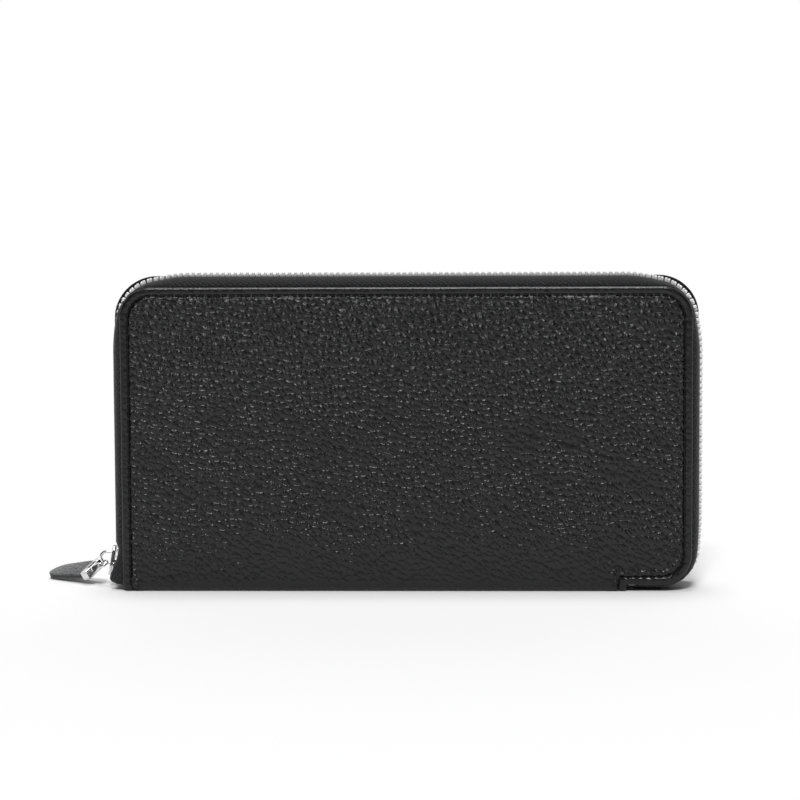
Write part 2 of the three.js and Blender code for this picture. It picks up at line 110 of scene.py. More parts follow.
PIVOT = Vector((-103.5, 0.0, 9.9))  # middle of the slider's crown
CROWN_RADIUS = 1.95
CROWN_WIRE = 0.48
EYE_RADIUS = 1.7
EYE_WIRE = 0.5
EYE_REACH = CROWN_RADIUS + 0.7
EYE_DROP = math.radians(61)  # where the eye hangs on the crown
PULL_HEADING = math.radians(-41)
PULL_DIP = math.radians(-8.5)
PULL_ROLL = math.radians(29)
CRIMP = (-8.0, -4.7)  # the cap's crimp, along the pull
CAP_HALF = 4.5
CAP_THICK = 1.6  # half thickness
WINDOW = (-7.1, -5.6)
WINDOW_HALF = 1.9
TAB_TIP = 27.6
TAB_HALF = 4.2
TAB_CUTS = [-9.5 - 1.5 * i for i in range(11)]
DROOP = 1.9  # the leather end hangs lower than the eye's own line
TWIST = math.radians(12)  # and turns flatter towards its tip

GRAIN_ANGLE = math.radians(-36)
FLOOR_FADE = (760, 1300)  # painted shade: the floor greys off this far in front of the wallet
FLOOR_SIZE = 30000
BACKDROP = 1.0  # brightness behind the wallet
DARK_ROOM = 0.07  # and on the camera's side
PANEL_GLOW = 0.3
PANEL_LEAN = math.radians(14)  # the glowing ceiling panel leans to the front
CAMERA_AZIMUTH = math.radians(2)
CAMERA_ELEVATION = math.radians(6)
CAMERA_DISTANCE = 1.05  # metres
CAMERA_AIM = Vector((-0.0019, -0.012, 0.0653))
CAMERA_LEVEL = math.radians(-0.3)
LENS = 140.3

scene = bpy.context.scene
scene.view_settings.view_transform = "Standard"


# ---- mesh helpers

def make(name, points, faces, material, uvs=None, relief=None):
    """A mesh object from points in millimetres."""
    mesh = bpy.data.meshes.new(name)
    mesh.from_pydata([tuple(0.001 * c for c in p) for p in points], [], [tuple(f) for f in faces])
    mesh.polygons.foreach_set("use_smooth", [True] * len(mesh.polygons))
    if uvs is not None:
        layer = mesh.uv_layers.new(name="UVMap")
        flat = np.array(uvs, dtype=float) / UV_SPAN + 0.5
        order = np.empty(len(mesh.loops), dtype=int)
        mesh.loops.foreach_get("vertex_index", order)
        layer.data.foreach_set("uv", flat[order].ravel())
    if relief is not None:
        mesh.attributes.new("relief", "FLOAT", "POINT").data.foreach_set("value", relief)
    mesh.materials.append(material)
    obj = bpy.data.objects.new(name, mesh)
    scene.collection.objects.link(obj)
    return obj


def sharpen(obj, degrees=40):
    """Smooth shading with crisp edges where faces meet at more than that angle."""
    mesh = obj.data
    bm = bmesh.new()
    bm.from_mesh(mesh)
    for edge in bm.edges:
        if len(edge.link_faces) == 2 and edge.calc_face_angle(0) > math.radians(degrees):
            edge.smooth = False
    bm.to_mesh(mesh)
    bm.free()


class Builder:
    """Collects several shapes into one mesh."""

    def __init__(self):
        self.points, self.faces, self.uvs = [], [], []

    def add(self, points, faces, uvs=None):
        base = len(self.points)
        self.points += [tuple(p) for p in points]
        self.faces += [tuple(base + i for i in f) for f in faces]
        self.uvs += list(uvs) if uvs is not None else [(p[0], p[2]) for p in points]

    def make(self, name, material):
        return make(name, self.points, self.faces, material, self.uvs)


def tube(path, radius, sides=12, closed=False, across=Vector((0, 1, 0))):
    """A round tube along a path whose plane has the normal `across`."""
    points, faces = [], []
    count = len(path)
    for i, p in enumerate(path):
        before = path[i - 1] if closed or i else path[0]
        after = path[(i + 1) % count] if closed or i + 1 < count else path[-1]
        along = (after - before).normalized()
        out = across.cross(along).normalized()
        for k in range(sides):
            a = 2 * math.pi * k / sides
            points.append(p + radius * (math.cos(a) * out + math.sin(a) * across))
    for i in range(count if closed else count - 1):
        for k in range(sides):
            a, b = i * sides + k, i * sides + (k + 1) % sides
            c = ((i + 1) % count) * sides
            faces.append((a, b, c + (k + 1) % sides, c + k))
    if not closed:
        faces.append(tuple(reversed(range(sides))))
        faces.append(tuple(range((count - 1) * sides, count * sides)))
    return points, faces


def soften(bm, edges, width, segments, **options):
    """Rounds some edges off."""
    bmesh.ops.bevel(bm, geom=edges, offset=width, segments=segments, profile=0.5, affect="EDGES", **options)


def taken(bm):
    """The points and faces of a bmesh, which is then freed."""
    bm.verts.index_update()
    points = [v.co.copy() for v in bm.verts]
    faces = [[v.index for v in f.verts] for f in bm.faces]
    bm.free()
    return points, faces


def slab(outline, low, high, bevel, dome=0.0, cuts=()):
    """A flat piece from its outline in XY, between two heights, with rounded rims."""
    bm = bmesh.new()
    ring = [bm.verts.new((x, y, low)) for x, y in outline]
    base = bm.faces.new(ring)
    top = bmesh.ops.extrude_face_region(bm, geom=[base])
    lifted = [v for v in top["geom"] if isinstance(v, bmesh.types.BMVert)]
    bmesh.ops.translate(bm, verts=lifted, vec=(0, 0, high - low))
    bmesh.ops.recalc_face_normals(bm, faces=bm.faces)
    rims = [e for e in bm.edges if abs(e.verts[0].co.z - e.verts[1].co.z) < 1e-6]
    soften(bm, rims, bevel, 3, clamp_overlap=True)
    for x in cuts:
        everything = list(bm.verts) + list(bm.edges) + list(bm.faces)
        bmesh.ops.bisect_plane(bm, geom=everything, plane_co=(x, 0, 0), plane_no=(1, 0, 0))
    bmesh.ops.triangulate(bm, faces=[f for f in bm.faces if len(f.verts) > 4])
    if dome:
        reach = max(abs(y) for _, y in outline)
        for v in bm.verts:
            if v.co.z > (low + high) / 2:
                v.co.z += dome * (1 - min(1, abs(v.co.y) / reach) ** 2)
    return taken(bm)


def block(x0, x1, y0, y1, z0, z1, bevel, segments=2):
    """A box with rounded edges."""
    outline = [(x0, y0), (x1, y0), (x1, y1), (x0, y1)]
    bm = bmesh.new()
    lower = [bm.verts.new((x, y, z0)) for x, y in outline]
    upper = [bm.verts.new((x, y, z1)) for x, y in outline]
    bm.faces.new(list(reversed(lower)))
    bm.faces.new(upper)
    for i in range(4):
        bm.faces.new((lower[i], lower[(i + 1) % 4], upper[(i + 1) % 4], upper[i]))
    soften(bm, list(bm.edges), bevel, segments)
    return taken(bm)


def flip(faces):
    """The same faces, turned over."""
    return [tuple(reversed(f)) for f in faces]


def arc_points(cx, cy, radius, start, stop, steps):
    """Points round an arc, its ends given in degrees."""
    turns = [math.radians(start + (stop - start) * i / steps) for i in range(steps + 1)]
    return [(cx + radius * math.cos(a), cy + radius * math.sin(a)) for a in turns]


# ---- materials

class Nodes:
    """Short names for building the nodes of a material, or of the world."""

    def __init__(self, name, world=False):
        self.owner = (bpy.data.worlds if world else bpy.data.materials).new(name)
        self.owner.use_nodes = True
        self.tree = self.owner.node_tree
        self.shader = self.tree.nodes["Background" if world else "Principled BSDF"]

    def node(self, kind, **values):
        node = self.tree.nodes.new(kind)
        for key, value in values.items():
            if hasattr(node, key):
                setattr(node, key, value)
        return node

    def link(self, source, target):
        self.tree.links.new(source, target)

    def set(self, **values):
        for key, value in values.items():
            self.shader.inputs[key.replace("_", " ")].default_value = value

    def flat(self, angle=0.0, stretch=(1.0, 1.0), warp=0.0, warp_scale=0.4):
        """Millimetres on the piece's UV map, turned and stretched, and wandering a little."""
        uv = self.node("ShaderNodeUVMap")
        mapping = self.node("ShaderNodeMapping")
        mapping.inputs["Scale"].default_value = (UV_SPAN, UV_SPAN, 1)
        self.link(uv.outputs["UV"], mapping.inputs["Vector"])
        place = mapping.outputs["Vector"]
        if warp:
            shift = self.node("ShaderNodeVectorMath", operation="MULTIPLY_ADD")
            self.link(self.noise(place, warp_scale, 2, output="Color"), shift.inputs[0])
            shift.inputs[1].default_value = (warp, warp, 0)
            self.link(place, shift.inputs[2])
            place = shift.outputs["Vector"]
        turned = self.node("ShaderNodeMapping", vector_type="TEXTURE")
        turned.inputs["Rotation"].default_value = (0, 0, angle)
        turned.inputs["Scale"].default_value = (stretch[0], stretch[1], 1)
        self.link(place, turned.inputs["Vector"])
        return turned.outputs["Vector"]

    def object_mm(self):
        """Millimetres in the object's own space."""
        coordinates = self.node("ShaderNodeTexCoord")
        mapping = self.node("ShaderNodeMapping")
        mapping.inputs["Scale"].default_value = (1000, 1000, 1000)
        self.link(coordinates.outputs["Object"], mapping.inputs["Vector"])
        return mapping.outputs["Vector"]

    def noise(self, vector, scale, detail=3, roughness=0.5, output="Fac"):
        node = self.node("ShaderNodeTexNoise")
        node.inputs["Scale"].default_value = scale
        node.inputs["Detail"].default_value = detail
        node.inputs["Roughness"].default_value = roughness
        self.link(vector, node.inputs["Vector"])
        return node.outputs[output]

    def cells(self, vector, scale, feature="DISTANCE_TO_EDGE"):
        node = self.node("ShaderNodeTexVoronoi")
        node.voronoi_dimensions = "2D"
        node.feature = feature
        node.inputs["Scale"].default_value = scale
        node.inputs["Randomness"].default_value = 1.0
        self.link(vector, node.inputs["Vector"])
        return node.outputs["Distance"]

    def wave(self, vector, scale, direction="X", distortion=0.0):
        node = self.node("ShaderNodeTexWave")
        node.bands_direction = direction
        node.inputs["Scale"].default_value = scale
        node.inputs["Distortion"].default_value = distortion
        self.link(vector, node.inputs["Vector"])
        return node.outputs["Fac"]

    def remap(self, value, low, high, new_low=0.0, new_high=1.0, smooth=False):
        node = self.node("ShaderNodeMapRange")
        if smooth:
            node.interpolation_type = "SMOOTHSTEP"
        for key, number in (("From Min", low), ("From Max", high), ("To Min", new_low), ("To Max", new_high)):
            node.inputs[key].default_value = number
        self.link(value, node.inputs["Value"])
        return node.outputs["Result"]

    def math(self, operation, a, b):
        node = self.node("ShaderNodeMath", operation=operation)
        for socket, value in zip(node.inputs, (a, b)):
            if isinstance(value, (int, float)):
                socket.default_value = value
            else:
                self.link(value, socket)
        return node.outputs["Value"]

    def attribute(self, name):
        return self.node("ShaderNodeAttribute", attribute_name=name).outputs["Fac"]

    def blend_colours(self, factor, dark, light):
        node = self.node("ShaderNodeMix", data_type="RGBA")
        self.link(factor, node.inputs[0])
        node.inputs[6].default_value = (*dark, 1)
        node.inputs[7].default_value = (*light, 1)
        return node.outputs[2]

    def bump(self, height, distance_mm, after=None):
        node = self.node("ShaderNodeBump")
        node.inputs["Distance"].default_value = distance_mm * 0.001
        node.inputs["Strength"].default_value = 1.0
        self.link(height, node.inputs["Height"])
        if after is not None:
            self.link(after, node.inputs["Normal"])
        return node.outputs["Normal"]

    def finish(self, colour=None, normal=None, roughness=None):
        for value, key in ((colour, "Base Color"), (normal, "Normal"), (roughness, "Roughness")):
            if value is not None:
                self.link(value, self.shader.inputs[key])
        return self.owner


def pebbled_leather(name, dark, light, cell=2.2, height=0.54, relief=True):
    """Pebble-grained leather: rounded, slanting pebbles with creases between, over fine pores."""
    n = Nodes(name)
    vector = n.flat(angle=GRAIN_ANGLE, stretch=(1.25, 0.82), warp=1.1, warp_scale=0.35)
    near = n.cells(vector, 1 / cell, "F1")
    edge = n.cells(vector, 1 / cell)
    dome = n.math("SUBTRACT", 1.0, n.math("POWER", n.remap(near, 0.0, 0.85), 2.0))
    crease = n.remap(edge, 0.0, 0.22, smooth=True)
    pebble = n.math("MULTIPLY", dome, n.remap(crease, 0, 1, 0.6, 1.0))
    fine_vector = n.flat(angle=GRAIN_ANGLE, stretch=(1.5, 0.8), warp=0.5, warp_scale=1.0)
    fine = n.remap(n.cells(fine_vector, 1 / (cell * 0.45)), 0, 0.3, smooth=True)
    pores = n.noise(fine_vector, 3.0, 2)
    patch = n.remap(n.noise(fine_vector, 0.06, 2), 0.35, 0.65, 0.65, 1.15)
    strength = n.math("MULTIPLY", patch, n.attribute("relief")) if relief else patch
    surface = n.bump(n.math("MULTIPLY", pebble, strength), height)
    surface = n.bump(n.math("MULTIPLY", fine, strength), height * 0.1, after=surface)
    surface = n.bump(pores, height * 0.05, after=surface)
    # Colour: painted shade darkens the creases between the pebbles, and the pores vary the tone a little.
    crease_shade_and_pore_tone = n.math("MULTIPLY", crease, n.remap(pores, 0.3, 0.7, 0.8, 1.0))
    colour = n.blend_colours(crease_shade_and_pore_tone, dark, light)
    gloss = n.remap(pores, 0.3, 0.7, 0.26, 0.34)
    n.set(Specular_IOR_Level=0.45)
    return n.finish(colour, surface, gloss)


def fine_leather(name, dark, light):
    """Smooth, finely grained leather for the pockets."""
    n = Nodes(name)
    vector = n.flat(warp=0.5, warp_scale=0.8)
    grain = n.remap(n.cells(vector, 1 / 0.75), 0, 0.25, smooth=True)
    pores = n.noise(vector, 4.0, 3)
    surface = n.bump(grain, 0.05)
    surface = n.bump(pores, 0.015, after=surface)
    colour = n.blend_colours(n.math("MULTIPLY", grain, pores), dark, light)
    n.set(Specular_IOR_Level=0.4)
    return n.finish(colour, surface, n.remap(pores, 0.3, 0.7, 0.42, 0.55))


def woven(name, dark, light, rib):
    """Woven tape or lining: slanting ribs crossed by finer threads, and speckled by loose fibres."""
    n = Nodes(name)
    slanting = n.flat(angle=math.radians(45))
    ribs = n.wave(slanting, WAVE_PERIOD / rib, "X", 2.5)
    threads = n.wave(slanting, WAVE_PERIOD / (rib * 0.8), "Y", 2.5)
    weave = n.math("MULTIPLY", n.remap(ribs, 0, 1, 0.35, 1), n.remap(threads, 0, 1, 0.5, 1))
    fuzz = n.noise(slanting, 2.2, 3)
    cloth = n.math("MULTIPLY", weave, n.remap(fuzz, 0.38, 0.62, 0.15, 1))
    surface = n.bump(cloth, 0.2)
    surface = n.bump(fuzz, 0.04, after=surface)
    colour = n.blend_colours(n.math("MULTIPLY", cloth, n.remap(fuzz, 0.2, 0.8, 0.6, 1)), dark, light)
    n.set(Roughness=0.9, Specular_IOR_Level=0.2, Sheen_Weight=0.15, Sheen_Roughness=0.5)
    return n.finish(colour, surface)


def nickel(name, roughness=0.16, lightest=0.82, metallic=1.0):
    """Polished nickel, a little smeared; less than fully metallic where it is satin."""
    n = Nodes(name)
    vector = n.object_mm()
    smear = n.noise(vector, 0.9, 4)
    fine = n.noise(vector, 9.0, 2)
    colour = n.blend_colours(smear, [0.78 * lightest] * 3, [lightest] * 3)
    surface = n.bump(fine, 0.004)
    n.set(Metallic=metallic)
    return n.finish(colour, surface, n.remap(smear, 0.2, 0.8, roughness * 0.7, roughness * 1.5))


def dull(name, figure_of, dark, light, depth, **shader):
    """A dull material whose one figure shows in its colour and in its surface."""
    n = Nodes(name)
    figure = figure_of(n, n.object_mm())
    n.set(**shader)
    return n.finish(n.blend_colours(figure, dark, light), n.bump(figure, depth))


COVER = pebbled_leather("cover_leather", (0.001, 0.001, 0.0011), (0.0038, 0.004, 0.0045))
# The tab's leather is painted much lighter than the cover's: a painted sheen standing in for the bright
# surroundings its face reflects.
TAB = pebbled_leather("tab_leather", (0.035, 0.036, 0.038), (0.125, 0.127, 0.131),
                      cell=1.5, height=0.3, relief=False)
POCKET = fine_leather("pocket_leather", (0.006, 0.006, 0.0065), (0.02, 0.0205, 0.0215))
LINING = woven("lining_fabric", (0.006, 0.006, 0.007), (0.024, 0.0245, 0.026), rib=0.6)
WOVEN_TAPE = woven("zip_tape", (0.006, 0.006, 0.0065), (0.06, 0.061, 0.065), rib=0.95)
METAL = nickel("zip_metal")
TOOTH_METAL = nickel("tooth_metal", 0.35, 0.97, metallic=0.4)
THREAD = dull("sewing_thread", lambda n, v: n.wave(v, 2.2, "DIAGONAL", 0.5),
              (0.006, 0.006, 0.0065), (0.022, 0.0225, 0.024), 0.05, Roughness=0.8, Specular_IOR_Level=0.15)
PAINT = dull("edge_paint", lambda n, v: n.noise(v, 1.5, 3),
             (0.012, 0.012, 0.0125), (0.03, 0.031, 0.033), 0.06, Roughness=0.5, Specular_IOR_Level=0.4)
BOARD = dull("board", lambda n, v: n.noise(v, 1.2, 6, 0.7),
             (0.2, 0.17, 0.13), (0.36, 0.32, 0.26), 0.08, Roughness=0.9)


# ---- the covers' edge

ARC = CORNER * math.pi / 2
LEFT_RUN = TOP - CORNER - TAPE_START
TOP_RUN = 2 * (RIGHT - CORNER)
RIGHT_RUN = TOP - 2 * CORNER - CORNER_LIFT
BOTTOM_RUN = RIGHT - CORNER - (SPINE_END + BOTTOM_CLEAR)
EDGE_LENGTH = LEFT_RUN + TOP_RUN + RIGHT_RUN + BOTTOM_RUN + 3 * ARC
CORNER_MIDDLES = (
    LEFT_RUN + ARC / 2,
    LEFT_RUN + ARC * 1.5 + TOP_RUN,
    LEFT_RUN + ARC * 2.5 + TOP_RUN + RIGHT_RUN,
)


def edge_at(s):
    """(x, z, outward x, outward z) at a distance along the zipped edge."""
    sides = (
        (LEFT_RUN, LEFT, TAPE_START, -1.0, 0.0),
        (TOP_RUN, LEFT + CORNER, TOP, 0.0, 1.0),
        (RIGHT_RUN, RIGHT, TOP - CORNER, 1.0, 0.0),
    )
    for i, (length, x, z, nx, nz) in enumerate(sides):
        if s <= length:
            return x + nz * s, z - nx * s, nx, nz
        s -= length
        if s <= ARC:
            cx, cz = x + nz * length - nx * CORNER, z - nx * length - nz * CORNER
            turn = math.pi - i * math.pi / 2 - s / CORNER
            nx, nz = math.cos(turn), math.sin(turn)
            return cx + CORNER * nx, cz + CORNER * nz, nx, nz
        s -= ARC
    return RIGHT - CORNER - s, CORNER_LIFT, 0.0, -1.0


def smoothstep(value, low, high):
    """0 below low, 1 above high, and an even curve between."""
    t = min(1.0, max(0.0, (value - low) / (high - low)))
    return t * t * (3 - 2 * t)


def corner_weight(s):
    """How much each of the three corners counts at a distance along the edge."""
    reach = [min(abs(s - middle) / CORNER_REACH, 1.0) for middle in CORNER_MIDDLES]
    return [math.cos(r * math.pi / 2) ** 2 for r in reach]


def bulge_at(s):
    """How far the middle of the teeth stands out from the edge."""
    first, second, last = CORNER_MIDDLES
    corners = corner_weight(s)
    fall = smoothstep(s, last - CORNER_REACH, last + ARC / 2)
    full = BULGE_LEFT if s <= first else BULGE_TOP if s < second else BULGE
    z = TAPE_START + s
    if z < TOP / 2:
        full += END_RISE * (1 - smoothstep(z, 3, 13))
    return full - (full - BULGE_CORNER) * (corners[0] + corners[1]) - (BULGE - BULGE_BOTTOM) * fall


# ---- sewn panels

def corner_stations(cx, cz, radius, start, steps):
    """Stations clockwise round a quarter turn, without its last point."""
    turns = [start - i * math.pi / 2 / steps for i in range(steps)]
    return [(cx + radius * math.cos(a), cz + radius * math.sin(a), math.cos(a), math.sin(a)) for a in turns]


def leather_edge():
    """Stations (x, v, nx, nv) up the sewn edge of a cover, over the top and down to the spine's end."""
    stations = []
    top = TOP - CORNER
    low = CORNER_LIFT + CORNER
    for v in np.linspace(SPINE_MIDDLE, top, 90)[:-1]:
        cut = min(1.0, max(0.0, 1 - v / HEEL_HEIGHT))
        stations.append((LEFT + HEEL_CUT * cut, v, -1, 0))
    stations += corner_stations(LEFT + CORNER, top, CORNER, math.pi, 14)
    for x in np.linspace(LEFT + CORNER, RIGHT - CORNER, 90)[:-1]:
        stations.append((x, TOP, 0, 1))
    stations += corner_stations(RIGHT - CORNER, top, CORNER, math.pi / 2, 14)
    for z in np.linspace(top, low, 44)[:-1]:
        stations.append((RIGHT, z, 1, 0))
    stations += corner_stations(RIGHT - CORNER, low, CORNER, 0, 14)
    for x in np.linspace(RIGHT - CORNER, SPINE_END, 8)[:-1]:
        stations.append((x, CORNER_LIFT, 0, -1))
    stations.append((SPINE_END, CORNER_LIFT, 1, -1))
    for v in np.linspace(CORNER_LIFT, SPINE_MIDDLE, 14)[1:]:
        stations.append((SPINE_END, v, 1, 0))
    return stations


def rounded_rect(x0, x1, z0, z1, radii, step):
    """Closed stations round a rectangle with its own radius at each corner, clockwise from the lower left."""
    stations = []

    def straight(xa, za, xb, zb, nx, nz):
        count = max(2, round(math.hypot(xb - xa, zb - za) / step))
        for i in range(count):
            t = i / count
            stations.append((xa + (xb - xa) * t, za + (zb - za) * t, nx, nz))

    def corner(cx, cz, radius, start):
        stations.extend(corner_stations(cx, cz, radius, start, 7))

    tl, tr, br, bl = radii
    straight(x0, z0 + bl, x0, z1 - tl, -1, 0)
    corner(x0 + tl, z1 - tl, tl, math.pi)
    straight(x0 + tl, z1, x1 - tr, z1, 0, 1)
    corner(x1 - tr, z1 - tr, tr, math.pi / 2)
    straight(x1, z1 - tr, x1, z0 + br, 1, 0)
    corner(x1 - br, z0 + br, br, 0)
    straight(x1 - br, z0, x0 + bl, z0, 0, -1)
    corner(x0 + bl, z0 + bl, bl, -math.pi / 2)
    return stations


def turned_profile(radius, back, flat_part):
    """(flat coordinate, inset, depth, relief) from the back of the turned edge over to the face."""
    profile = [(-back, back, 2 * radius, 0.1)]
    steps = 6
    for i in range(steps + 1):
        a = math.pi * (1 - i / steps)
        inset, depth = radius - radius * math.sin(a), radius - radius * math.cos(a)
        profile.append((radius - radius * a, inset, depth, 0.1))
    return profile + [(inset, inset, depth, relief) for inset, depth, relief in flat_part]


def panel_mesh(stations, profile, closed, spacing, relief_at=None, backed=False):
    """A sewn panel in the flat: rows (x, v, depth), faces, flat UVs and relief."""
    rows, uvs, relief, faces = [], [], [], []
    width = len(profile)
    for x, v, nx, nv in stations:
        for q, inset, depth, weight in profile:
            rows.append((x - nx * inset, v - nv * inset, depth))
            uvs.append((x - nx * q, v - nv * q))
            relief.append(weight)
    count = len(stations)
    for i in range(count if closed else count - 1):
        for j in range(width - 1):
            a, b = i * width + j, ((i + 1) % count) * width + j
            faces.append((a, b, b + 1, a + 1))
    add_inside(rows, uvs, relief, faces, count, width, profile, spacing, relief_at, backed)
    return rows, faces, uvs, relief


def add_inside(rows, uvs, relief, faces, count, width, profile, spacing, relief_at, backed):
    """Fills a panel inside its innermost row of points, and behind it if it is backed."""
    ring = [i * width + width - 1 for i in range(count)]
    loop = np.array([rows[k][:2] for k in ring])
    low, high = loop.min(axis=0), loop.max(axis=0)
    xs = np.arange(low[0] + spacing / 2, high[0], spacing)
    vs = np.arange(low[1] + spacing / 2, high[1], spacing)
    grid = np.array([(x, v) for x in xs for v in vs]) if len(xs) and len(vs) else np.empty((0, 2))
    inside = [g for g in grid if contains(loop, g) and distance_to(loop, g) > spacing * 0.45]
    flat_points = [Vector(p) for p in loop] + [Vector(p) for p in inside]
    edges = [(i, (i + 1) % len(loop)) for i in range(len(loop))]
    verts, _, triangles, origin, _, _ = delaunay_2d_cdt(flat_points, edges, [], 1, 1e-6)
    index = {}
    last_depth = profile[-1][2]
    for k, source in enumerate(origin):
        if source and source[0] < len(loop):
            index[k] = ring[source[0]]
            continue
        index[k] = len(rows)
        x, v = verts[k]
        rows.append((x, v, last_depth))
        uvs.append((x, v))
        relief.append(relief_at(x, v) if relief_at else 1.0)
    for a, b, c in triangles:
        faces.append((index[a], index[c], index[b]))
    if backed:
        back_ring = [i * width for i in range(count)]
        back_depth = profile[0][2]
        back = {}
        for k in range(len(verts)):
            source = index[k]
            if source in ring:
                back[k] = back_ring[ring.index(source)]
            else:
                back[k] = len(rows)
                x, v, _ = rows[source]
                rows.append((x, v, back_depth))
                uvs.append((x, v))
                relief.append(0.3)
        for a, b, c in triangles:
            faces.append((back[a], back[b], back[c]))


def contains(loop, point):
    """Whether a point lies inside a closed loop."""
    x, y = point
    ax, ay = loop[:, 0], loop[:, 1]
    bx, by = np.roll(ax, -1), np.roll(ay, -1)
    crosses = (ay > y) != (by > y)
    with np.errstate(divide="ignore", invalid="ignore"):
        at = (bx - ax) * (y - ay) / (by - ay) + ax
    return bool(np.count_nonzero(crosses & (x < at)) % 2)


def distance_to(loop, point):
    """From a point to the nearest point of a loop."""
    return float(np.sqrt(((loop - point) ** 2).sum(axis=1)).min())


def crown_at(x, v):
    """How far the padded panel swells outwards."""
    if v < FOLD:
        return 0.0
    along = max(0.0, 1 - (x / RIGHT) ** 4)
    up = max(0.0, 1 - ((v - FOLD - CROWN_MIDDLE) / CROWN_REACH) ** 2)
    waves = 0.22 * noise.noise(Vector((x / 26, v / 20, 3.1)))
    wrinkles = 0.08 * noise.noise(Vector((x / 9, v / 8, 7.7)))
    return (CROWN * along + (waves + wrinkles)) * min(1.0, up * 1.6) * (0.4 + 0.6 * up)


def folded(side, x, v, depth, crown=0.0):
    """A flat leather point carried round the fold at the spine, in the row frame."""
    if v >= FOLD:
        return x, side * (HALF_DEPTH - depth + crown), v
    reach = FOLD * (1 - math.pi / 2)
    if v >= reach:
        turn = (FOLD - v) / FOLD
        radius = FOLD - depth
        return x, side * (HALF_DEPTH - FOLD + radius * math.cos(turn)), FOLD - radius * math.sin(turn)
    return x, side * (HALF_DEPTH - FOLD - (reach - v)), depth


def bend(obj, name):
    """Bakes the piece's placement into its mesh."""
    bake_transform(obj)


def cover_skin(name):
    """One half of the outside leather: a cover and half of the spine."""
    side = HALVES[name]
    inset = STITCH_INSET
    face = [
        (1.1, 0.0, 0.2), (1.7, 0.02, 0.25), (inset - 0.45, 0.1, 0.2), (inset - 0.2, 0.24, 0.1),
        (inset, 0.36, 0.05), (inset + 0.2, 0.24, 0.1), (inset + 0.45, 0.0, 0.4), (inset + 1.0, -0.14, 0.85),
        (inset + 1.9, -0.1, 1.0),
    ]
    profile = turned_profile(TURNED, TURNED_BACK, face)

    def relief_at(_, v):
        return 0.4 + 0.35 * smoothstep(v, 3, 24) + 0.7 * smoothstep(v, 55, 92)

    rows, faces, uvs, relief = panel_mesh(leather_edge(), profile, False, COVER_GRID, relief_at)
    points = [folded(side, x, v, depth, crown_at(x, v)) for x, v, depth in rows]
    skin = make(f"{name}_leather", points, faces if side > 0 else flip(faces), COVER, uvs, relief)
    bend(skin, name)


def stitches_along(points, outs, radius=STITCH_RADIUS):
    """Threads one by one: each a short rounded bar that dips into the leather at both ends."""
    builder = Builder()
    for a, b, out in zip(points[:-1], points[1:], outs):
        middle = (a + b) / 2
        along = (b - a).normalized()
        half = (b - a).length * 0.41
        path = []
        for i in range(6):
            t = -1 + 2 * i / 5
            path.append(middle + along * half * t + out * (radius * 0.9 - 0.32 * t ** 4))
        across = along.cross(out).normalized()
        builder.add(*tube(path, radius, 6, across=across))
    return builder


def cover_stitches(name):
    """The thread along a cover's sewn edge."""
    side = HALVES[name]
    stations = leather_edge()
    inset_path = [(x - nx * STITCH_INSET, v - nv * STITCH_INSET) for x, v, nx, nv in stations]
    line = even_points(inset_path, STITCH_PITCH)
    points = [Vector(folded(side, x, v, STITCH_DEPTH, crown_at(x, v))) for x, v in line]
    lifted = [Vector(folded(side, x, v, STITCH_DEPTH - 1, crown_at(x, v))) for x, v in line]
    outs = [(b - a).normalized() for a, b in zip(points, lifted)]
    threads = stitches_along(points, outs).make(f"{name}_stitching", THREAD)
    bend(threads, name)


def lengths_along(path):
    """The distance along a polyline at each of its points."""
    lengths = [0.0]
    for a, b in zip(path, path[1:]):
        lengths.append(lengths[-1] + (b - a).length)
    return lengths


def even_points(path, pitch):
    """Points a fixed distance apart along a polyline."""
    path = [Vector(p) for p in path]
    lengths = lengths_along(path)
    count = round(lengths[-1] / pitch)
    points = []
    for want in np.linspace(0, lengths[-1], count + 1):
        k = min(max(int(np.searchsorted(lengths, want)), 1), len(path) - 1)
        t = (want - lengths[k - 1]) / (lengths[k] - lengths[k - 1])
        points.append(path[k - 1].lerp(path[k], t))
    return points


for half_name in HALVES:
    cover_skin(half_name)
    cover_stitches(half_name)
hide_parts("front_cover_leather", "spine_leather")
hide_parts("back_cover_leather")


# ---- the zip

def end_flare(s):
    """The tape's free end below the slider stands out and is cut off round."""
    z = TAPE_START + s
    flare = 3.2 * (1 - smoothstep(z, 0.0, 16.0))
    rounding = math.sqrt(max(0.0, 1 - max(0.0, (2.6 - s) / 2.8) ** 2)) if s < 2.6 else 1.0
    return flare, rounding


def tape_section(s, side):
    """(out, depth) down the middle of the tape's thickness, from its sewn edge to the teeth."""
    first, _, last = CORNER_MIDDLES
    drop = TAPE_DROP * (1 - 0.85 * smoothstep(s, last - CORNER_REACH, last + ARC / 2))
    above_slider = smoothstep(s + TAPE_START, SLIDER_TOP + 0.4, SLIDER_TOP + 2.4)
    stand = (TAPE_STAND + TAPE_DROP) * above_slider * (1 - smoothstep(s, first - 12, first))
    bulge = bulge_at(s) - drop + stand
    flare, rounding = end_flare(s)
    corners = corner_weight(s)
    if side > 0:
        bulge += BACK_STAND * (corners[0] + corners[1])
    pucker = 0.22 * (corners[0] + corners[1] + 0.6 * corners[2]) * math.sin(2 * math.pi * s / 3.4)
    line = [(out, TAPE_DEPTH) for out in (-6.5, -3.0, -1.0)]
    steps = 10
    for i in range(steps + 1):
        turn = math.pi / 2 * i / steps
        swell = math.sin(turn) ** 0.85
        hump = math.sin(min(1.0, i / steps * 1.35) * math.pi) ** 2
        out = bulge * swell + (pucker + flare) * hump + flare * 0.35 * swell
        line.append((out * rounding, TAPE_TURN + (TAPE_DEPTH - TAPE_TURN) * math.cos(turn)))
    line += [((bulge + flare * 0.2) * rounding, 4.0), (bulge * rounding, 3.0), (bulge * rounding, 1.9)]
    return line


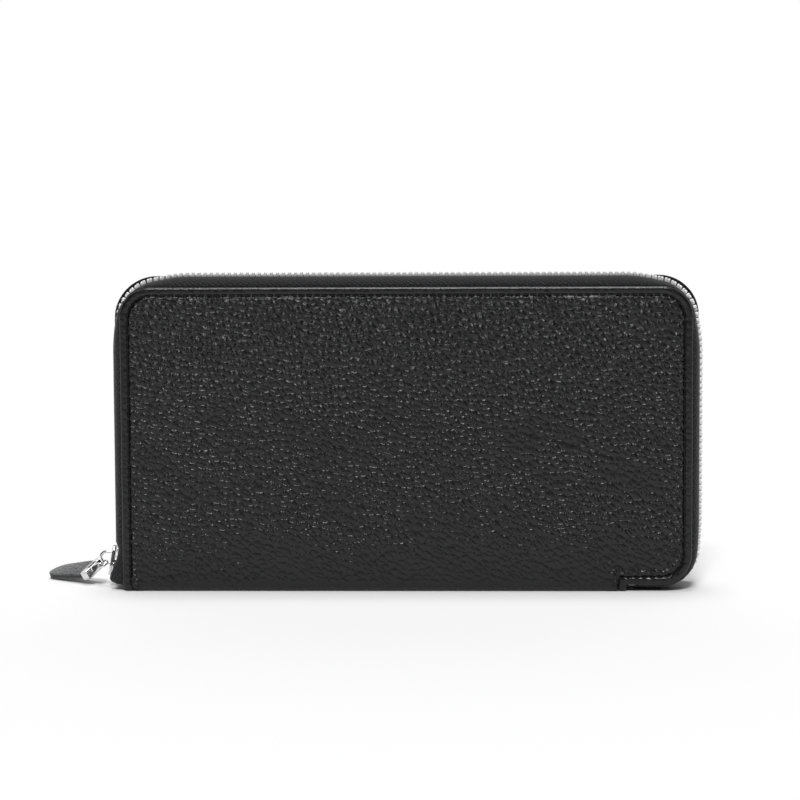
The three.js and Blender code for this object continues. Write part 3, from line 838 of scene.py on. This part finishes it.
def thick_line(line, thickness):
    """Both faces of a line, as (point, distance along) round a closed section."""
    points = [Vector(p) for p in line]
    lengths = lengths_along(points)
    outer, inner = [], []
    for i, p in enumerate(points):
        along = (points[min(i + 1, len(points) - 1)] - points[max(i - 1, 0)]).normalized()
        across = Vector((-along.y, along.x)) * thickness / 2
        outer.append((p + across, lengths[i]))
        inner.append((p - across, lengths[i]))
    return outer + inner[::-1]


def tape(name):
    """One half of the zip's cloth tape, arching from behind its cover to the teeth."""
    side = HALVES[name]
    count = TAPE_RINGS
    points, faces, uvs = [], [], []
    for i in range(count + 1):
        s = EDGE_LENGTH * i / count
        x, z, nx, nz = edge_at(s)
        section = thick_line(tape_section(s, side), TAPE)
        for (out, depth), across in section:
            points.append((x + nx * out, side * depth, z + nz * out))
            uvs.append((across, 0.7 * (s - EDGE_LENGTH / 2)))
    width = len(section)
    for i in range(count):
        for j in range(width):
            a, b = i * width + j, i * width + (j + 1) % width
            faces.append((a, b, b + width, a + width))
    faces.append(tuple(reversed(range(width))))
    faces.append(tuple(range(count * width, (count + 1) * width)))
    piece = make(f"{name}_zip_tape_cloth", points, faces if side < 0 else flip(faces), WOVEN_TAPE, uvs)
    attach(piece, f"{name}_half")
    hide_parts(f"zip_tape_{name}")


def tooth_shape(nose):
    """One tooth: out along X, across along Y, and the zip's own direction along Z."""
    builder = Builder()
    builder.add(*block(-0.9, 0.9, 0.55, 2.3, -0.5, 0.5, 0.34))
    builder.add(*block(-0.72, 0.72, nose, 1.0, -0.36, 0.36, 0.2))
    return builder.points, builder.faces


def teeth(name):
    """One half's row of teeth, parted inside the slider and meshed above it."""
    side = HALVES[name]
    builder = Builder()
    locked, free = tooth_shape(-0.55), tooth_shape(0.42)
    first, second, _ = CORNER_MIDDLES
    start = SLIDER_Z - TAPE_START + 0.6
    s = start if side < 0 else start + TOOTH_PITCH / 2
    while s < EDGE_LENGTH - 0.6:
        x, z, nx, nz = edge_at(s)
        out = bulge_at(s)
        if first < s < second:
            out -= side * CHAIN_LEAN * (1 - sum(corner_weight(s)[:2]))
        centre = Vector((x + nx * out, 0, z + nz * out))
        turn = Matrix(((nx, 0, -nz), (0, side, 0), (nz, 0, nx)))
        inside_slider = z < SLIDER_TOP and x < LEFT + 1
        points, faces = free if inside_slider else locked
        placed = [centre + turn @ Vector(p) for p in points]
        builder.add(placed, faces if side > 0 else flip(faces))
        s += TOOTH_PITCH
    piece = builder.make(f"{name}_zip_teeth_row", TOOTH_METAL)
    sharpen(piece)
    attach(piece, f"{name}_half")
    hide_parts(f"zip_teeth_{name}")


for half_name in HALVES:
    tape(half_name)
    teeth(half_name)


def stop(name, node, body, low, high):
    """A clamped metal stop in place of its CAD box."""
    builder = Builder()
    builder.add(*block(low[0], high[0], low[1], high[1], low[2], high[2], 0.35, 3))
    piece = builder.make(name, METAL)
    sharpen(piece)
    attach(piece, body)
    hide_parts(node)


def node_box(node):
    """A CAD node's box in millimetres."""
    low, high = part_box(node)
    return [1000 * c for c in low], [1000 * c for c in high]


stop_low, stop_high = node_box("zip_bottom_stop")
stop_low[1], stop_high[1] = -BOTTOM_STOP_HALF, BOTTOM_STOP_HALF
stop("bottom_stop", "zip_bottom_stop", "spine", stop_low, stop_high)
for half_name in HALVES:
    stop(f"top_stop_{half_name}", f"zip_top_stop_{half_name}", f"{half_name}_half",
         *node_box(f"zip_top_stop_{half_name}"))
for end in ("left", "right"):
    stop(f"coin_zip_stop_{end}", f"coin_stop_{end}", "spine", *node_box(f"coin_stop_{end}"))


# ---- slider and pull

def slider_outline():
    """The slider's plate in (along, across): the wide mouth at 0, the neck at the far end."""
    wide, neck, length = 3.3, 2.5, SLIDER_TOP - SLIDER_Z
    right = [(0.0, 2.0), (0.45, 2.9), (1.3, wide), (length * 0.42, wide), (length * 0.62, neck + 0.1),
             (length - 2.2, neck)]
    nose = arc_points(length - 2.2, 0, neck, 90, -90, 10)[1:-1]
    nose = [(x - (x - (length - 2.2)) * 0.12, y) for x, y in nose]
    return right + nose + [(x, -y) for x, y in reversed(right)]


def slider():
    """Two domed plates joined by the post, with low flanges along their edges."""
    upright = Matrix(((0, 0, -1), (0, 1, 0), (1, 0, 0)))
    hinge = Vector((CHAIN_X, 0, SLIDER_TOP))
    tilt = Matrix.Translation(hinge) @ Matrix.Rotation(SLIDER_TILT, 4, "Y") @ Matrix.Translation(-hinge)
    outer_x, inner_x = CHAIN_X - 1.2, CHAIN_X + 1.2
    builder = Builder()
    for x, low, high, dome in ((outer_x, 0, 0.9, 0.25), (inner_x, -0.9, 0, 0.0)):
        points, faces = slab(slider_outline(), low, high, 0.3, dome)
        builder.add([Vector((x, 0, SLIDER_Z)) + upright @ p for p in points], flip(faces))
    builder.add(*block(outer_x - 0.4, inner_x + 0.4, -0.2, 0.2, SLIDER_Z + 0.8, SLIDER_Z + 4.2, 0.08))
    for side in (-1, 1):
        y0, y1 = sorted((side * 2.75, side * 3.25))
        builder.add(*block(outer_x - 0.3, outer_x + 0.5, y0, y1, SLIDER_Z + 1.3, SLIDER_Z + 4.6, 0.14))
        builder.add(*block(inner_x - 0.5, inner_x + 0.3, y0, y1, SLIDER_Z + 1.3, SLIDER_Z + 4.6, 0.14))
    builder.points = [tilt @ Vector(p) for p in builder.points]
    piece = builder.make("zip_slider_plates", METAL)
    sharpen(piece, 50)
    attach(piece, "zip_carriage")
    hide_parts("slider_body")


def crown():
    """The C-shaped loop that the pull hangs from, with its two feet on the slider."""
    foot_x = CHAIN_X - 2.5
    feet = ((foot_x + 0.2, PIVOT.z + CROWN_RADIUS), (foot_x - 0.4, PIVOT.z - CROWN_RADIUS))
    path = [Vector((feet[0][0], 0, feet[0][1]))]
    for i in range(25):
        a = math.radians(90 + 180 * i / 24)
        path.append(PIVOT + CROWN_RADIUS * Vector((math.cos(a), 0, math.sin(a))))
    path.append(Vector((feet[1][0], 0, feet[1][1])))
    builder = Builder()
    builder.add(*tube(path, CROWN_WIRE, 14))
    for x, z in feet:
        builder.add(*block(x - 0.35, x + 0.3, -0.85, 0.85, z - 0.75, z + 0.75, 0.22, 3))
    piece = builder.make("zip_slider_crown", METAL)
    sharpen(piece, 50)
    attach(piece, "zip_carriage")
    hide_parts("slider_crown")


def hang_matrix():
    """Where the pull hangs: its own X runs from the tip to the eye."""
    eye = PIVOT - EYE_REACH * Vector((math.cos(EYE_DROP), 0, math.sin(EYE_DROP)))
    turn = Matrix.Rotation(PULL_HEADING, 4, "Z") @ Matrix.Rotation(PULL_DIP, 4, "Y")
    return Matrix.Translation(eye) @ turn @ Matrix.Rotation(PULL_ROLL, 4, "X")


HANG = hang_matrix()


def hung(shape):
    """A shape of the pull with its droop and twist, hung on the slider."""
    points, faces = shape
    placed = []
    for x, y, z in points:
        turn = -TWIST * smoothstep(-x, 9, TAB_TIP)
        y, z = y * math.cos(turn) - z * math.sin(turn), y * math.sin(turn) + z * math.cos(turn)
        placed.append(HANG @ Vector((x, y, z - DROOP * smoothstep(-x, 0.5, 6.5))))
    return placed, faces


def wedge(small, large):
    """A solid with leaning sides between two upright ends, each (x, half width, half thickness)."""
    corners = ((-1, -1), (1, -1), (0.35, 1), (-0.35, 1))
    bm = bmesh.new()
    rings = []
    for x, width, thick in (small, large):
        rings.append([bm.verts.new((x, width * a, thick * b)) for a, b in corners])
    bm.faces.new(rings[0])
    bm.faces.new(list(reversed(rings[1])))
    for i in range(4):
        j = (i + 1) % 4
        bm.faces.new((rings[0][i], rings[1][i], rings[1][j], rings[0][j]))
    bmesh.ops.recalc_face_normals(bm, faces=bm.faces)
    soften(bm, list(bm.edges), 0.18, 2)
    return taken(bm)


def cap():
    """The metal end of the pull: an eye, a tapered neck and a crimp with a small window."""
    builder = Builder()
    ring = [Vector((EYE_RADIUS * math.cos(a), EYE_RADIUS * math.sin(a), 0))
            for a in (2 * math.pi * i / 28 for i in range(28))]
    builder.add(*hung(tube(ring, EYE_WIRE, 12, closed=True, across=Vector((0, 0, 1)))))
    builder.add(*hung(wedge((-1.7, 1.1, 0.55), (-4.9, CAP_HALF - 0.1, 1.5))))
    half = CAP_HALF
    back, front = CRIMP
    window_back, window_front = WINDOW
    across = WINDOW_HALF + 0.3
    frame_parts = [
        (back, front, -half, -WINDOW_HALF),
        (back, front, WINDOW_HALF, half),
        (back, window_back, -across, across),
        (window_front, front, -across, across),
    ]
    for part in frame_parts:
        builder.add(*hung(block(*part, CAP_THICK - 0.5, CAP_THICK, 0.05, 1)))
    body = [(back, half), (front, half), (front, -half), (back, -half)]
    builder.add(*hung(slab(body, -CAP_THICK, CAP_THICK - 0.45, 0.25)))
    piece = builder.make("pull_cap_metal", METAL)
    sharpen(piece, 35)
    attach(piece, "zip_pull")
    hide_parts("pull_cap")


def tab_outline(grow=0.0):
    """The tongue from inside the cap to its round tip."""
    wide = TAB_HALF + grow
    tip = arc_points(-TAB_TIP + TAB_HALF, 0, wide, 90, 270, 28)
    return [(-7.6, wide - 0.5), (-9.0, wide)] + tip + [(-9.0, -wide), (-7.6, 0.5 - wide)]


def tab():
    """The leather tongue: two layers with painted edges and pebbled faces."""
    def lay(builder, shape, stretch=1.0):
        builder.add(*hung(shape), uvs=[(p[0] * stretch, p[1]) for p in shape[0]])

    core, faces = Builder(), Builder()
    lay(core, slab(tab_outline(-0.05), -0.85, 0.85, 0.3, cuts=TAB_CUTS), 0.9)
    edge = core.make("pull_tab_edge", PAINT)
    for low, high in ((0.45, 0.98), (-0.98, -0.45)):
        lay(faces, slab(tab_outline(), low, high, 0.24, cuts=TAB_CUTS))
    lay(faces, block(-7.3, -5.4, -2.1, 2.1, 1.0, 1.32, 0.05, 1))
    leather = faces.make("pull_tab_leather", TAB)
    for piece in (edge, leather):
        sharpen(piece, 50)
        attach(piece, "zip_pull")
    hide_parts("pull_tab")


slider()
crown()
cap()
tab()


# ---- inside

def flat_panel(name, node, body, material, radii, stitched=()):
    """A sewn panel in place of a flat CAD panel, its face turned to the wallet's middle."""
    low, high = node_box(node)
    side = -1 if low[1] + high[1] < 0 else 1
    near = min(abs(low[1]), abs(high[1]))
    stations = rounded_rect(low[0], high[0], low[2], high[2], radii, 6.0)
    groove = (PANEL_STITCH_INSET, 0.07, 0.3)
    face = [(0.8, 0.0, 0.5), (1.5, 0.0, 0.6), groove, (2.0, 0.0, 0.7), (3.2, 0.0, 1.0)]
    profile = turned_profile((high[1] - low[1]) / 2, 3.2, face)
    rows, faces, uvs, relief = panel_mesh(stations, profile, True, 9.0, backed=True)
    points = [(x, side * (near + depth), z) for x, z, depth in rows]
    piece = make(name, points, flip(faces) if side > 0 else faces, material, uvs, relief)
    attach(piece, body)
    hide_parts(node)
    if stitched:
        threads = panel_threads(low, high, side, near, stitched).make(f"{name}_thread", THREAD)
        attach(threads, body)


def panel_threads(low, high, side, near, stitched):
    """Stitches down the named sides of a flat panel."""
    inset = PANEL_STITCH_INSET
    runs = {
        "top": [(low[0] + 3, high[2] - inset), (high[0] - 3, high[2] - inset)],
        "left": [(low[0] + inset, low[2] + 1), (low[0] + inset, high[2] - 3)],
        "right": [(high[0] - inset, low[2] + 1), (high[0] - inset, high[2] - 3)],
    }
    builder = Builder()
    for key in stitched:
        line = even_points(runs[key], STITCH_PITCH)
        points = [Vector((x, side * (near + 0.05), z)) for x, z in line]
        outs = [Vector((0, -side, 0))] * len(points)
        part = stitches_along(points, outs, PANEL_STITCH_RADIUS)
        builder.add(part.points, part.faces)
    return builder


def paint_node(node, material):
    """A CAD node that stays in the picture, with a material of its own."""
    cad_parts[node].data.materials.clear()
    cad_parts[node].data.materials.append(material)


for half_name in HALVES:
    half_body = f"{half_name}_half"
    flat_panel(f"{half_name}_lining_cloth", f"{half_name}_lining", half_body, LINING,
               (10.5, 10.5, 10.5, 1.2))
    flat_panel(f"{half_name}_note_pocket", f"{half_name}_bill_pocket", half_body, POCKET,
               (3, 3, 3, 1.2), stitched=("top",))
    for column in ("left", "right"):
        for row in (1, 2, 3):
            node = f"{half_name}_card_slot_{column}_{row}"
            sides = ("top", "left", "right") if row == 3 else ("top",)
            flat_panel(f"{node}_leather", node, half_body, POCKET, (2, 2, 1.2, 1.2),
                       stitched=sides)
    flat_panel(f"coin_wall_{half_name}_leather", f"coin_wall_{half_name}", "spine", POCKET,
               (3, 3, 1.2, 1.2), stitched=("top",))
    paint_node(f"{half_name}_board", BOARD)


def strip(name, node, body, material, bevel):
    """A bound strip in place of a thin CAD bar."""
    low, high = node_box(node)
    points, faces = block(low[0], high[0], low[1], high[1], low[2], high[2], bevel, 3)
    longest = max(range(3), key=lambda k: high[k] - low[k])
    other = 2 if longest != 2 else 1
    uvs = [(p[other] + p[3 - longest - other], p[longest]) for p in points]
    piece = make(name, points, faces, material, uvs)
    sharpen(piece, 60)
    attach(piece, body)
    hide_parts(node)


strip("spine_lining_cloth", "spine_lining", "spine", LINING, 0.2)
strip("coin_base_cloth", "coin_base", "spine", LINING, 0.3)
for end in ("left", "right"):
    strip(f"coin_side_{end}_cloth", f"coin_side_{end}", "spine", LINING, 0.3)
for half_name in HALVES:
    strip(f"coin_tape_{half_name}_cloth", f"coin_zip_tape_{half_name}", "spine", WOVEN_TAPE, 0.2)


def coin_teeth(name):
    """One row of the coin pocket's teeth."""
    side = HALVES[name]
    low, high = node_box(f"coin_zip_teeth_{name}")
    centre_z = (low[2] + high[2]) / 2
    builder = Builder()
    points, faces = tooth_shape(-0.55)
    turn = Matrix(((0, 0, 1), (0, side, 0), (1, 0, 0)))
    x = low[0] + 0.6 + (TOOTH_PITCH / 2 if side > 0 else 0)
    while x < high[0] - 0.5:
        placed = [Vector((x, 0, centre_z)) + turn @ Vector(p) for p in points]
        builder.add(placed, faces if side < 0 else flip(faces))
        x += TOOTH_PITCH
    piece = builder.make(f"coin_teeth_{name}_row", TOOTH_METAL)
    sharpen(piece)
    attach(piece, "spine")
    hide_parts(f"coin_zip_teeth_{name}")


for half_name in HALVES:
    coin_teeth(half_name)

for node in ("coin_slider", "coin_pull"):
    paint_node(node, METAL)


# ---- floor, light, camera

def floor():
    """A pale floor painted grey far in front of the wallet: painted shade, so that shiny parts reflect a dark
    room there.
    """
    n = Nodes("floor")
    axes = n.node("ShaderNodeSeparateXYZ")
    n.link(n.object_mm(), axes.inputs["Vector"])
    # painted shade: grey far in front, pale near the wallet
    near = n.remap(axes.outputs["Y"], -FLOOR_FADE[1], -FLOOR_FADE[0], smooth=True)
    n.set(Roughness=0.8, Specular_IOR_Level=0.0)
    material = n.finish(n.blend_colours(near, (0.4, 0.4, 0.4), (0.925, 0.925, 0.925)))
    corners = ((-1, -1), (1, -1), (1, 1), (-1, 1))
    points = [(FLOOR_SIZE * x, FLOOR_SIZE * y, 0) for x, y in corners]
    plane = make("floor", points, [(0, 1, 2, 3)], material)


def sun_light(name, tip, energy, spread):
    """An even soft light from above, tipped some degrees to the front."""
    light = bpy.data.lights.new(name, "SUN")
    light.energy = energy
    light.angle = math.radians(spread)
    obj = bpy.data.objects.new(name, light)
    obj.rotation_euler = (math.radians(tip), 0, 0)
    scene.collection.objects.link(obj)


def studio():
    """A bright backdrop behind, a glowing panel above and a dim room round the rest."""
    n = Nodes("studio", world=True)
    generated = n.node("ShaderNodeTexCoord").outputs["Generated"]
    axes = n.node("ShaderNodeSeparateXYZ")
    n.link(generated, axes.inputs["Vector"])
    room = n.remap(axes.outputs["Y"], 0.5, 0.9, DARK_ROOM, BACKDROP, smooth=True)
    lean = n.node("ShaderNodeVectorMath", operation="DOT_PRODUCT")
    lean.inputs[1].default_value = (0, -math.sin(PANEL_LEAN), math.cos(PANEL_LEAN))
    n.link(generated, lean.inputs[0])
    panel = n.remap(lean.outputs["Value"], 0.74, 0.86, 0.0, PANEL_GLOW, smooth=True)
    n.link(n.math("ADD", room, panel), n.shader.inputs["Strength"])
    n.set(Color=(1, 1, 1, 1))
    scene.world = n.owner


def lights():
    """The studio, and two soft lights from above."""
    studio()
    sun_light("overhead", tip=-5, energy=1.1, spread=20)
    sun_light("front_top", tip=41, energy=2.0, spread=16)


def camera():
    """The photo's view: from the front, a little right of it and above."""
    data = bpy.data.cameras.new("camera")
    data.lens = LENS
    data.sensor_width = 36
    obj = bpy.data.objects.new("camera", data)
    flat = math.cos(CAMERA_ELEVATION)
    x, y = math.sin(CAMERA_AZIMUTH) * flat, -math.cos(CAMERA_AZIMUTH) * flat
    back = Vector((x, y, math.sin(CAMERA_ELEVATION)))
    obj.location = CAMERA_AIM + back * CAMERA_DISTANCE
    level = Matrix.Rotation(CAMERA_LEVEL, 3, back)
    obj.rotation_euler = (level @ (-back).to_track_quat("-Z", "Y").to_matrix()).to_euler()
    scene.collection.objects.link(obj)
    scene.camera = obj


floor()
lights()
camera()
